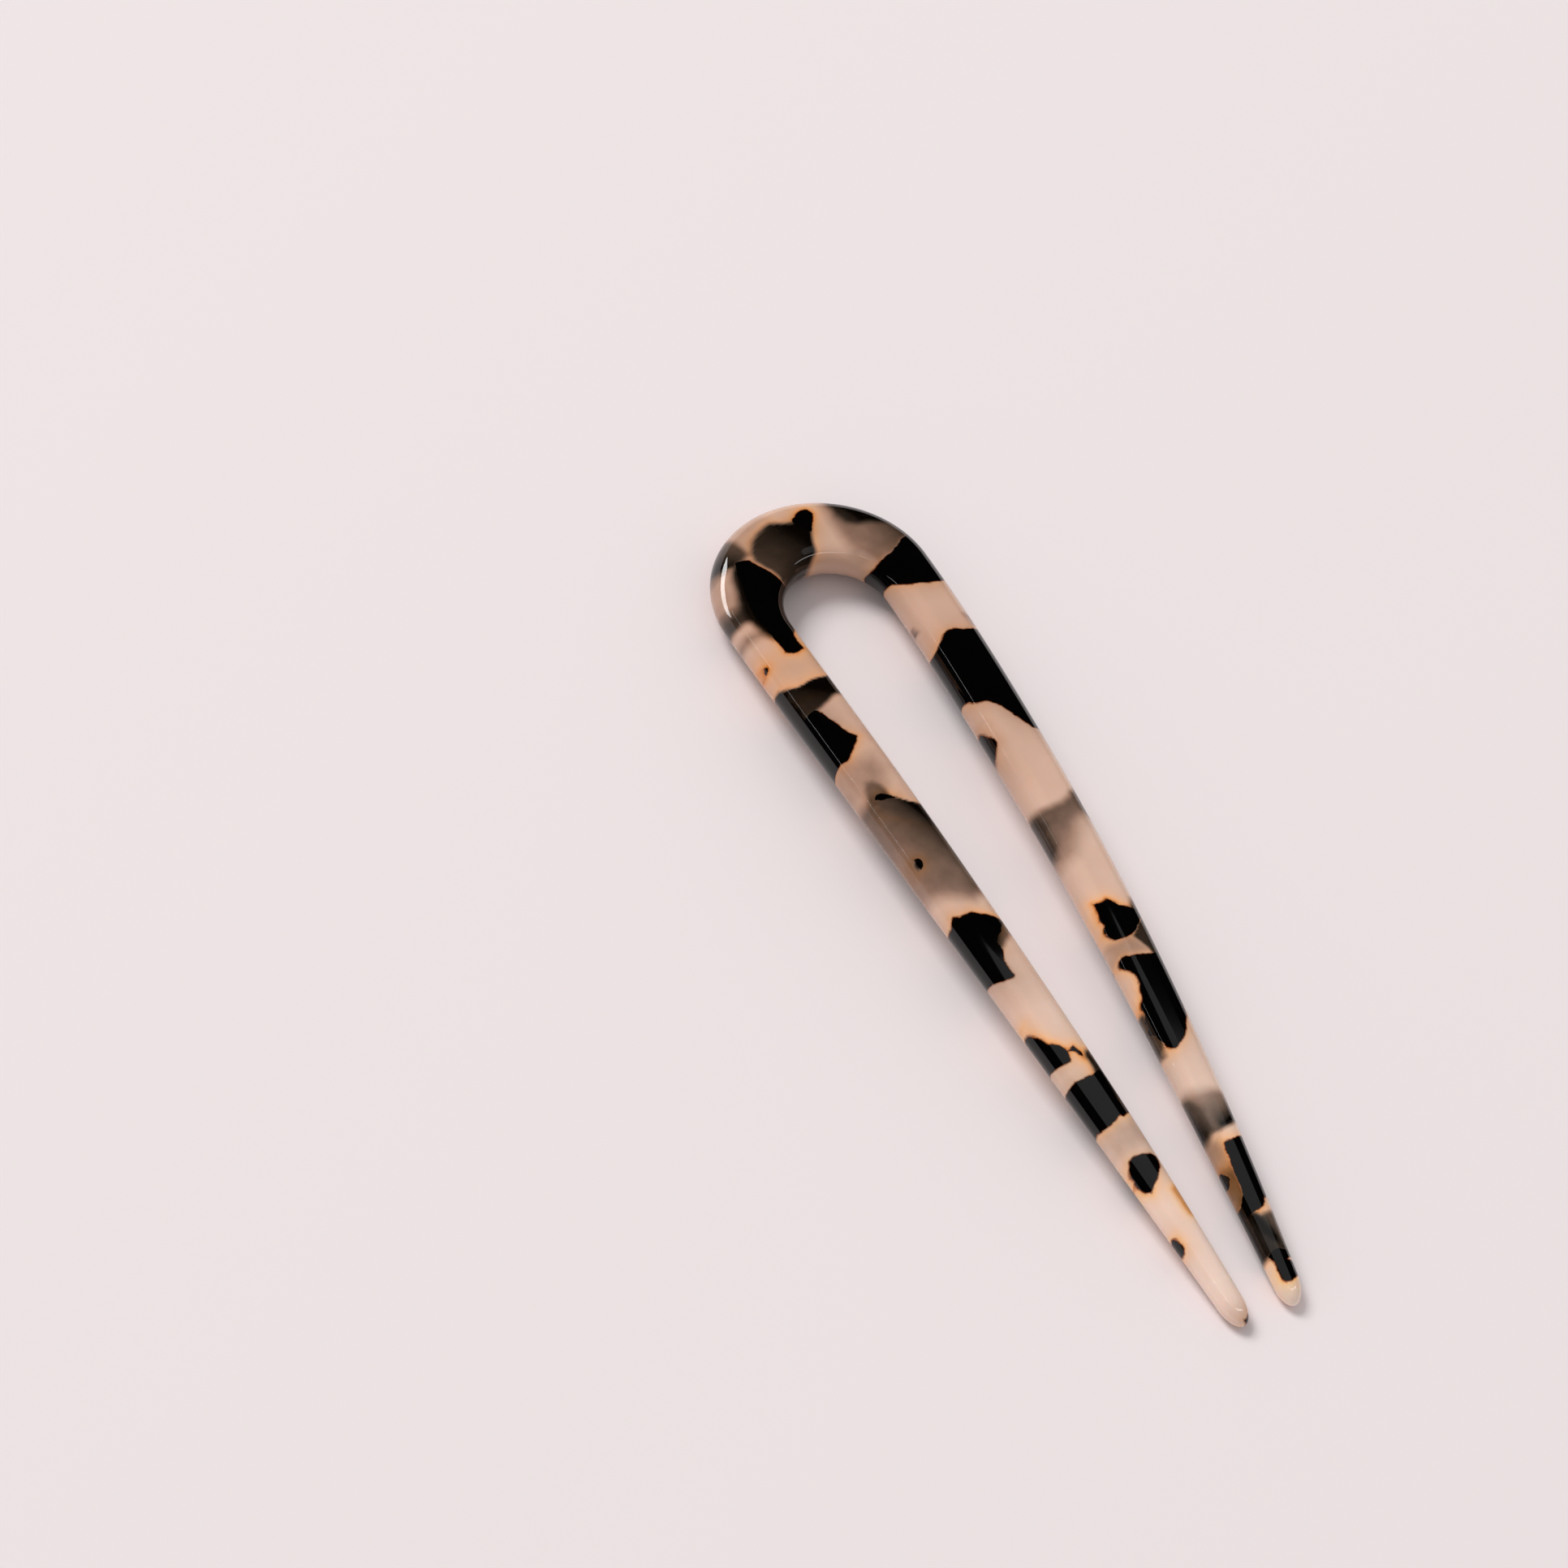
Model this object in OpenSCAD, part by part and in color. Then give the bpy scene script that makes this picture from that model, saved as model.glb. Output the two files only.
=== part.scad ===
// French hair pin: one U of tortoiseshell acetate, cut from sheet, arched to follow the head and polished round.
// The origin is under the middle of the pin, on the surface that it lies on.
// +Y runs from the two tips to the closed bow, +X across the pin, +Z up.

/* [Pin] */
// Length from the tips to the top of the bow
pin_length = 127; // [100:1:160]
// Width over the bow, its widest place
bow_width = 29.9; // [27:0.1:40]
// Width over both tips
tip_spread = 10.8; // [9:0.1:16]
// Thickness of the sheet at the bow
sheet = 5.8; // [3:0.1:6.5]
// Thickness left at the thinned tips
tip_sheet = 3.2; // [2:0.1:4]
// Rise of the arch under the middle of the pin
arch_rise = 4.2; // [0:0.1:10]
// Length of the rounded end of each leg
tip_dome = 3.2; // [2:0.1:6]

/* [Gap between the legs] */
// Width of the gap at the bow, where it ends in a half circle
gap_width = 14.3; // [10:0.1:18]
// Width of the gap between the tips
tip_gap = 4.4; // [3:0.1:6]

/* [Crown of the bow] */
// Width of the band at the top of the bow
crown_band = 10.7; // [7:0.1:14]
// Height of the bow's outer arc above the widest place
crown_height = 14.6; // [12:0.1:20]

/* [Hidden] */

// How a leg grows from its tip, at 0, to the bow, at 1. Each growth is a share of the whole change over the leg.
// Columns: place along the leg, growth of the outer width, growth of the gap, growth of the thickness.
LEG_STATIONS = [
    [0.00, 0.00, 0.00, 0.00],
    [0.25, 0.38, 0.27, 0.40],
    [0.50, 0.69, 0.58, 0.72],
    [0.75, 0.90, 0.83, 0.94],
    [1.00, 1.00, 1.00, 1.00],
];
PLACE = 0;
OUTER_GROWTH = 1;
GAP_GROWTH = 2;
SHEET_GROWTH = 3;

// Fineness of the mesh: ribs in a tip, a leg and half the bow, and steps round one edge of a rib
TIP_STEPS = 7;
LEG_STEPS = 30;
BOW_STEPS = 16;
EDGE_STEPS = 10;

gap_radius = gap_width / 2;
widest_y = pin_length - crown_height;
gap_centre_y = pin_length - crown_band - gap_radius;

function mix(from, to, share) = from + (to - from) * share;

// Slope of one column at a station; at the bow it is level, because the arcs take over there
function slope(i, column) =
    let (
        last = len(LEG_STATIONS) - 1,
        before = LEG_STATIONS[max(i - 1, 0)],
        after = LEG_STATIONS[min(i + 1, last)]
    )
    i == last ? 0 : (after[column] - before[column]) / (after[PLACE] - before[PLACE]);

// Smooth curve through one column of the stations
function growth(place, column) =
    let (
        last = len(LEG_STATIONS) - 2,
        i = max([for (k = [0 : last]) LEG_STATIONS[k][PLACE] <= place ? k : 0]),
        here = LEG_STATIONS[i],
        next = LEG_STATIONS[i + 1],
        span = next[PLACE] - here[PLACE],
        t = (place - here[PLACE]) / span,
        rest = 1 - t
    )
    here[column] * (1 + 2 * t) * rest * rest
    + next[column] * (1 + 2 * rest) * t * t
    + slope(i, column) * span * t * rest * rest
    - slope(i + 1, column) * span * t * t * rest;

// A rib is one cross-section: its point on the outline, its point on the gap, its thickness,
// and how far its middle lies above the arch
OUTLINE_POINT = 0;
GAP_POINT = 1;
RIB_SHEET = 2;
MIDDLE_HEIGHT = 3;

function leg_rib(place) =
    let (thickness = mix(tip_sheet, sheet, growth(place, SHEET_GROWTH)))
    [
        [mix(tip_spread, bow_width, growth(place, OUTER_GROWTH)) / 2, widest_y * place],
        [mix(tip_gap, gap_width, growth(place, GAP_GROWTH)) / 2, gap_centre_y * place],
        thickness,
        thickness / 2,
    ];

function bow_rib(turn) = [
    [bow_width / 2 * cos(turn), widest_y + crown_height * sin(turn)],
    [gap_radius * cos(turn), gap_centre_y + gap_radius * sin(turn)],
    sheet,
    sheet / 2,
];

// In the rounded end a rib shrinks about its middle, as the slices of a dome do
function tip_rib(turn) =
    let (full = leg_rib(tip_dome * (1 - cos(turn)) / widest_y))
    [
        mix(plan_middle(full), full[OUTLINE_POINT], sin(turn)),
        mix(plan_middle(full), full[GAP_POINT], sin(turn)),
        full[RIB_SHEET] * sin(turn),
        full[MIDDLE_HEIGHT],
    ];
function plan_middle(rib) = (rib[OUTLINE_POINT] + rib[GAP_POINT]) / 2;

function across_mirror(point) = [-point[0], point[1]];
function mirrored(rib) = [
    across_mirror(rib[OUTLINE_POINT]),
    across_mirror(rib[GAP_POINT]),
    rib[RIB_SHEET],
    rib[MIDDLE_HEIGHT],
];

right_ribs = [
    for (i = [1 : TIP_STEPS]) tip_rib(90 * i / TIP_STEPS),
    for (i = [1 : LEG_STEPS - 1]) leg_rib(mix(tip_dome / widest_y, 1, i / LEG_STEPS)),
    for (i = [0 : BOW_STEPS]) bow_rib(90 * i / BOW_STEPS),
];
ribs = [
    each right_ribs,
    for (i = [len(right_ribs) - 2 : -1 : 0]) mirrored(right_ribs[i]),
];

// Height of the arch at a distance y from the tips
function arch(y) = 4 * arch_rise * (y / pin_length) * (1 - y / pin_length);

// A rib's ring of points: flat above and below, with both edges polished to half a circle
function ring(rib) =
    let (
        across = rib[OUTLINE_POINT] - rib[GAP_POINT],
        toward_outline = across / norm(across),
        half = rib[RIB_SHEET] / 2,
        edge = min(half, norm(across) / 2)
    )
    [
        for (side = [1, -1], i = [0 : EDGE_STEPS])
            let (
                turn = side * (180 * i / EDGE_STEPS - 90),
                corner = side > 0 ? rib[OUTLINE_POINT] : rib[GAP_POINT],
                plan = corner + toward_outline * side * edge * (cos(turn) - 1)
            )
            [plan[0], plan[1], arch(plan[1]) + rib[MIDDLE_HEIGHT] + half * sin(turn)],
    ];

tip_middle = plan_middle(leg_rib(0));
tip_poles = [for (side = [1, -1]) [side * tip_middle[0], tip_middle[1], arch(tip_middle[1]) + tip_sheet / 2]];

points = [for (rib = ribs) each ring(rib), each tip_poles];

RING_SIZE = 2 * (EDGE_STEPS + 1);
last_ring = (len(ribs) - 1) * RING_SIZE;
right_pole = len(points) - 2;
left_pole = len(points) - 1;

skin = [
    for (i = [0 : len(ribs) - 2], k = [0 : RING_SIZE - 1])
        let (here = i * RING_SIZE + k, beside = i * RING_SIZE + (k + 1) % RING_SIZE)
        [here, beside, beside + RING_SIZE, here + RING_SIZE],
    for (k = [0 : RING_SIZE - 1]) [right_pole, (k + 1) % RING_SIZE, k],
    for (k = [0 : RING_SIZE - 1]) [left_pole, last_ring + k, last_ring + (k + 1) % RING_SIZE],
];

// The lowest points of the two tips and the bow touch the surface
lowest = min([for (point = points) point[2]]);

module hair_pin() {
    color([0.85, 0.70, 0.59])
        translate([0, -pin_length / 2, -lowest])
            polyhedron(points = points, faces = skin, convexity = 4);
}

hair_pin();
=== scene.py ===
# %% [markdown]
# # A tortoiseshell french hair pin
#
# The pin is one U of cellulose acetate: milky, blond plastic sheet with black and smoky flakes pressed
# into it, sawn out, bent over a gentle arch and tumbled until it shines. This lesson builds it in Blender
# around the imported CAD model: camera and light first, then the polished form, then the flakes, and last
# the finish.
#
# The CAD model is loaded as a fixed frame. Its box gives the length and width of the pin.

# %% Load the frame
import math

import bmesh
import bpy
import numpy as np
from mathutils import Matrix, Vector


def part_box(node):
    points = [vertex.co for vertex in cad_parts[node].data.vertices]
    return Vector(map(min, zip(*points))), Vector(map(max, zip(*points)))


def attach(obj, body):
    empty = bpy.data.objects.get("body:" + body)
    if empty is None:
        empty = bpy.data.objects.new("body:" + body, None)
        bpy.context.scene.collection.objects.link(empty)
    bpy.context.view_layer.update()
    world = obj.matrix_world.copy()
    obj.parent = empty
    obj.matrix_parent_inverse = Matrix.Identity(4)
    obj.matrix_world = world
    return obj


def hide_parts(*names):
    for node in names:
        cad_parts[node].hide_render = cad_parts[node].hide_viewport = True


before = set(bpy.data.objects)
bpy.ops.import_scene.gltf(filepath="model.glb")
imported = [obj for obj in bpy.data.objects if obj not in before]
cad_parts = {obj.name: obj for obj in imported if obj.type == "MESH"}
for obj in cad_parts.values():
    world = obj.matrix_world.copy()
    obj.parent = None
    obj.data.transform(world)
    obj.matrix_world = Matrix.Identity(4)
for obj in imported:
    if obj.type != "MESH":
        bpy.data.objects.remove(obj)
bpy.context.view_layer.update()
MM = 0.001

# %% [markdown]
# ## Camera
#
# A long lens from about a metre away keeps both legs almost parallel. The camera looks down steeply from
# beside the left tip and is rolled, so the pin runs from the upper left to the lower right of a square
# picture. Its place could be set by hand; here it is given as a photographer would note it: the spot on
# the table it looks at, how far away it stands, its bearing, its height angle and its roll.

# %% Camera
LOOKS_AT = Vector((-17.3, 27.8, 0.0)) * MM
DISTANCE = 1069 * MM
BEARING = math.radians(46.26)
HEIGHT_ANGLE = math.radians(53.99)
ROLL = math.radians(20.24)
LENS = 195.8
SENSOR_WIDTH = 36

look = Vector((
    math.sin(BEARING) * math.cos(HEIGHT_ANGLE),
    math.cos(BEARING) * math.cos(HEIGHT_ANGLE),
    -math.sin(HEIGHT_ANGLE),
))
camera_data = bpy.data.cameras.new("camera")
camera_data.lens = LENS
camera_data.sensor_width = SENSOR_WIDTH
camera_data.clip_start = 0.01
camera = bpy.data.objects.new("camera", camera_data)
bpy.context.scene.collection.objects.link(camera)
level = look.to_track_quat("-Z", "Y").to_matrix()
camera.matrix_world = (level @ Matrix.Rotation(ROLL, 3, "Z")).to_4x4()
camera.location = LOOKS_AT - look * DISTANCE
bpy.context.scene.camera = camera
print("camera at", [round(v, 3) for v in camera.location])

# %% [markdown]
# ## Table and light
#
# Polished acetate is judged by what it mirrors. A room that is bright all round would lay a grey veil
# over the black flakes, so the room and the key light reach matt surfaces only, and five panels are there
# to be mirrored and for nothing else: one overhead, which greys the level tops of the lower legs and ends
# half way up them, a slim strip for the line on the inner shoulder of the right leg, a low card behind
# the bow for its bright crescent, and two narrow ones in front for the fine arcs round the inside of the
# bow.

# %% Table
TABLE_HALF_WIDTH = 3.0
TABLE_COLOUR = (0.885, 0.81, 0.817, 1)


def make_table():
    table_bm = bmesh.new()
    bmesh.ops.create_grid(table_bm, x_segments=8, y_segments=8, size=TABLE_HALF_WIDTH)
    mesh = bpy.data.meshes.new("table")
    table_bm.to_mesh(mesh)
    table_bm.free()
    table = bpy.data.objects.new("table", mesh)
    bpy.context.scene.collection.objects.link(table)
    paint = bpy.data.materials.new("matt_paint")
    paint.use_nodes = True
    shader = paint.node_tree.nodes["Principled BSDF"]
    shader.inputs["Base Color"].default_value = TABLE_COLOUR
    shader.inputs["Roughness"].default_value = 0.9
    shader.inputs["Specular IOR Level"].default_value = 0.1
    mesh.materials.append(paint)
    return table


table = make_table()
print("table:", len(table.data.polygons), "faces")


# %% Lights
ROOM_COLOUR = (1.0, 0.985, 0.98, 1)
ROOM_STRENGTH = 0.5


def make_panel(name, place, width, height, radiance, mirrored=True, turn=None, roll=0):
    """A rectangle of light at a place in metres. It faces the pin, or lies level if it has a turn."""
    data = bpy.data.lights.new(name, "AREA")
    data.shape = "RECTANGLE"
    data.size = width
    data.size_y = height
    data.energy = radiance * math.pi * width * height
    panel = bpy.data.objects.new(name, data)
    bpy.context.scene.collection.objects.link(panel)
    if turn is None:
        facing = Vector(place).to_track_quat("Z", "Y").to_matrix().to_4x4()
        panel.matrix_world = facing @ Matrix.Rotation(math.radians(roll), 4, "Z")
    else:
        panel.matrix_world = Matrix.Rotation(math.radians(turn), 4, "Z")
    panel.location = place
    panel.visible_camera = False
    panel.visible_glossy = mirrored
    panel.visible_diffuse = not mirrored
    print("panel", name, "power", round(data.energy, 2))


make_panel("key_light", (-1.30, 3.00, 3.60), 2.0, 2.0, 11.8, mirrored=False)
make_panel("overhead_panel", (0.015, -0.057, 1.0), 1.12, 0.66, 0.5, turn=8)
make_panel("side_strip", (-0.90, 0.62, 0.52), 0.60, 0.010, 14.0)
make_panel("glint_card", (-0.46, 0.88, 0.21), 0.94, 0.25, 11.0, roll=-16)
make_panel("arc_strip", (0.65, -0.66, 1.0), 1.5, 0.12, 4.5, turn=-4)
make_panel("arc_end", (-0.37, -0.36, 1.0), 0.78, 0.07, 4.5, turn=-43)

world = bpy.data.worlds.new("room")
world.use_nodes = True
room = world.node_tree.nodes["Background"]
room.inputs["Color"].default_value = ROOM_COLOUR
room.inputs["Strength"].default_value = ROOM_STRENGTH
bpy.context.scene.world = world
world.cycles_visibility.glossy = False
bpy.context.scene.view_settings.view_transform = "Standard"
bpy.context.scene.view_settings.look = "None"

# %% [markdown]
# ## The form of the pin
#
# Real pins are sawn flat, their edges are milled round, and the blank is bent warm over an arch. A sweep
# along a curve would do for a wire, but here width, gap and thickness all change from the tips to the
# bow. So the form is built from ribs: cross-sections that each know their point on the outline, their
# point on the gap and their thickness. The sizes are those of the CAD model, in millimetres; length and
# width are read from its box. Only the sheet is a hair thinner, because a finer mesh fills its curves out
# a little more and has to stay inside that box.

# %% Sizes
low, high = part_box("hair_pin")
PIN_LENGTH = (high.y - low.y) / MM
BOW_WIDTH = (high.x - low.x) / MM
TIP_SPREAD = 10.8
SHEET = 5.77
TIP_SHEET = 3.2
ARCH_RISE = 4.2
TIP_DOME = 3.2
GAP_WIDTH = 14.3
TIP_GAP = 4.4
CROWN_BAND = 10.7
CROWN_HEIGHT = 14.6
GAP_RADIUS = GAP_WIDTH / 2
WIDEST_Y = PIN_LENGTH - CROWN_HEIGHT
GAP_CENTRE_Y = PIN_LENGTH - CROWN_BAND - GAP_RADIUS
PLACES = (0.0, 0.25, 0.5, 0.75, 1.0)
OUTER_GROWTH = (0.0, 0.38, 0.69, 0.90, 1.0)
GAP_GROWTH = (0.0, 0.27, 0.58, 0.83, 1.0)
SHEET_GROWTH = (0.0, 0.40, 0.72, 0.94, 1.0)
print("length", round(PIN_LENGTH, 2), "width", round(BOW_WIDTH, 2), "sheet", SHEET)


# %% How a leg grows from its tip to the bow
def mix(start, end, share):
    return start + (end - start) * share


def slope(i, column):
    """Slope of a column at a station; level at the bow, where the arcs take over."""
    if i == len(PLACES) - 1:
        return 0.0
    before = max(i - 1, 0)
    return (column[i + 1] - column[before]) / (PLACES[i + 1] - PLACES[before])


def growth(place, column):
    """Smooth curve through one column of the stations."""
    i = min(int(place / PLACES[1]), len(PLACES) - 2)
    span = PLACES[i + 1] - PLACES[i]
    t = (place - PLACES[i]) / span
    rest = 1 - t
    value = column[i] * (1 + 2 * t) * rest * rest
    value += column[i + 1] * (1 + 2 * rest) * t * t
    value += slope(i, column) * span * t * rest * rest
    value -= slope(i + 1, column) * span * t * t * rest
    return value


def leg_rib(place):
    """Outline point, gap point, thickness and height of the middle."""
    outer = mix(TIP_SPREAD, BOW_WIDTH, growth(place, OUTER_GROWTH)) / 2
    gap = mix(TIP_GAP, GAP_WIDTH, growth(place, GAP_GROWTH)) / 2
    thickness = mix(TIP_SHEET, SHEET, growth(place, SHEET_GROWTH))
    return Vector((outer, WIDEST_Y * place)), Vector((gap, GAP_CENTRE_Y * place)), thickness, thickness / 2


def bow_rib(turn):
    outline = Vector((BOW_WIDTH / 2 * math.cos(turn), WIDEST_Y + CROWN_HEIGHT * math.sin(turn)))
    gap = Vector((GAP_RADIUS * math.cos(turn), GAP_CENTRE_Y + GAP_RADIUS * math.sin(turn)))
    return outline, gap, SHEET, SHEET / 2


def tip_rib(turn):
    """In the rounded end a rib shrinks about its middle, as the slices of a dome do."""
    outline, gap, thickness, middle = leg_rib(TIP_DOME * (1 - math.cos(turn)) / WIDEST_Y)
    centre = (outline + gap) / 2
    outline = centre.lerp(outline, math.sin(turn))
    gap = centre.lerp(gap, math.sin(turn))
    return outline, gap, thickness * math.sin(turn), middle


def arch(y):
    """Height of the bent sheet at a distance y from the tips."""
    return 4 * ARCH_RISE * (y / PIN_LENGTH) * (1 - y / PIN_LENGTH)


TIP_STEPS = 14
LEG_STEPS = 340
BOW_STEPS = 72
ribs = [tip_rib(math.pi / 2 * i / TIP_STEPS) for i in range(1, TIP_STEPS + 1)]
ribs += [leg_rib(mix(TIP_DOME / WIDEST_Y, 1, i / LEG_STEPS)) for i in range(1, LEG_STEPS)]
ribs += [bow_rib(math.pi / 2 * i / BOW_STEPS) for i in range(BOW_STEPS + 1)]
print(len(ribs), "ribs from a tip to the middle of the bow")

# %% [markdown]
# ## One ring, extruded rib by rib
#
# A rib's ring is a circle pulled apart across the pin: two round edges with a flat above and below.
# Filling hundreds of separate rings would be fiddly, so one ring is extruded from the tip to the middle
# of the bow, and each new ring is laid on its own rib. The half is mirrored, welded in the middle of the
# bow, and closed at both tips. The mesh is fine on purpose: the flakes are charted on its points.

# %% The ring
EDGE_STEPS = 32
FLAT_CUTS = 11
WELD = 0.01 * MM


def make_ring(bm):
    """A closed ring of unit size; each point is told by how far it lies across, and how high."""
    bmesh.ops.create_circle(bm, cap_ends=False, segments=2 * EDGE_STEPS, radius=1)
    bmesh.ops.rotate(bm, verts=bm.verts, matrix=Matrix.Rotation(math.pi / (2 * EDGE_STEPS), 3, "Z"))
    for vert in bm.verts:
        vert.co.x += math.copysign(1, vert.co.x)
    flats = [edge for edge in bm.edges if edge.verts[0].co.x * edge.verts[1].co.x < 0]
    bmesh.ops.subdivide_edges(bm, edges=flats, cuts=FLAT_CUTS)
    return list(bm.verts), list(bm.edges)


def laid(mark, rib):
    """Where a point of the unit ring lies on a rib, in metres."""
    outline, gap, thickness, middle = rib
    across = outline - gap
    width = across.length
    across = across / width
    edge = min(thickness, width) / 2
    pull = width / 2 - edge
    if abs(mark.x) <= 1:
        reach = mark.x * pull
    else:
        reach = math.copysign(pull + (abs(mark.x) - 1) * edge, mark.x)
    plan = (outline + gap) / 2 + across * reach
    height = arch(plan.y) + middle + thickness / 2 * mark.y
    return Vector((plan.x, plan.y - PIN_LENGTH / 2, height)) * MM


def make_half():
    bm = bmesh.new()
    ring, edges = make_ring(bm)
    marks = [vert.co.copy() for vert in ring]
    first = ring
    for vert, mark in zip(ring, marks):
        vert.co = laid(mark, ribs[0])
    for rib in ribs[1:]:
        grown = bmesh.ops.extrude_edge_only(bm, edges=edges)["geom"]
        edges = [part for part in grown if isinstance(part, bmesh.types.BMEdge)]
        new_verts = {part for part in grown if isinstance(part, bmesh.types.BMVert)}
        ring = [next(e.other_vert(v) for e in v.link_edges if e.other_vert(v) in new_verts) for v in ring]
        for vert, mark in zip(ring, marks):
            vert.co = laid(mark, rib)
    end_edges = {edge for vert in first for edge in vert.link_edges if edge.is_boundary}
    bmesh.ops.contextual_create(bm, geom=list(end_edges))
    bmesh.ops.poke(bm, faces=[face for face in bm.faces if len(face.verts) > 4])
    return bm


print("ring of", 2 * (EDGE_STEPS + FLAT_CUTS), "points, laid on", len(ribs), "ribs")


# %% Both halves, welded
def make_pin():
    bm = make_half()
    geometry = bm.verts[:] + bm.edges[:] + bm.faces[:]
    bmesh.ops.mirror(bm, geom=geometry, matrix=Matrix.Identity(4), merge_dist=-1, axis="X")
    bmesh.ops.remove_doubles(bm, verts=bm.verts, dist=WELD)
    bmesh.ops.recalc_face_normals(bm, faces=bm.faces)
    lowest = min(vert.co.z for vert in bm.verts)
    bmesh.ops.translate(bm, verts=bm.verts, vec=Vector((0, 0, -lowest)))
    for face in bm.faces:
        face.smooth = True
    open_edges = sum(not edge.is_manifold for edge in bm.edges)
    mesh = bpy.data.meshes.new("polished_pin")
    bm.to_mesh(mesh)
    bm.free()
    pin = bpy.data.objects.new("polished_pin", mesh)
    bpy.context.scene.collection.objects.link(pin)
    print("pin:", len(mesh.polygons), "faces,", open_edges, "open edges")
    print("lowest point was", round(lowest / MM, 3))
    return pin, lowest


pin, LIFT = make_pin()

# %% [markdown]
# ## The chart of flakes
#
# In the block that the sheet is sliced from, plates of dark acetate lie at every depth and slant. Where
# the polish cut one open it is black with a crisp, chipped edge; where it sinks into the milk it fades to
# smoke. A noise texture could scatter blots, but not these large, angular, unevenly spread ones. So each
# plate is charted, as corners in millimetres (x across, y from the tips) and a few words about its place
# in the sheet:
#
# - milk: how much milk lies over it; nothing means that the polish cut it open
# - at, dip: where that is meant, and how much more milk there is for each millimetre from there, across
#   and along
# - thick: how thick it is, in millimetres; THROUGH is more than the sheet is anywhere
# - soft: how many millimetres its edge takes to fade, on top of what the milk does
# - lean: how far its edges shift across and along for each millimetre of depth
# - glow, side: how strong the painted glow of light through its thin edges is, all round and more on one
#   side

# %% Clouds: plates that stay under the milk
THROUGH = 9.0


def plate(corners, milk, at, dip, soft, thick, lean, glow, side, opens):
    return {
        "corners": np.array(corners), "milk": milk, "at": np.array(at), "dip": np.array(dip), "soft": soft,
        "thick": thick, "lean": lean, "glow": glow, "side": np.array(side), "opens": opens,
    }


def cloud(corners, milk, at=(0, 0), dip=(0, 0), soft=0.0, thick=3.0, glow=0.0):
    return plate(corners, milk, at, dip, soft, thick, (0, 0), glow, (0, 0), opens=False)


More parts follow.
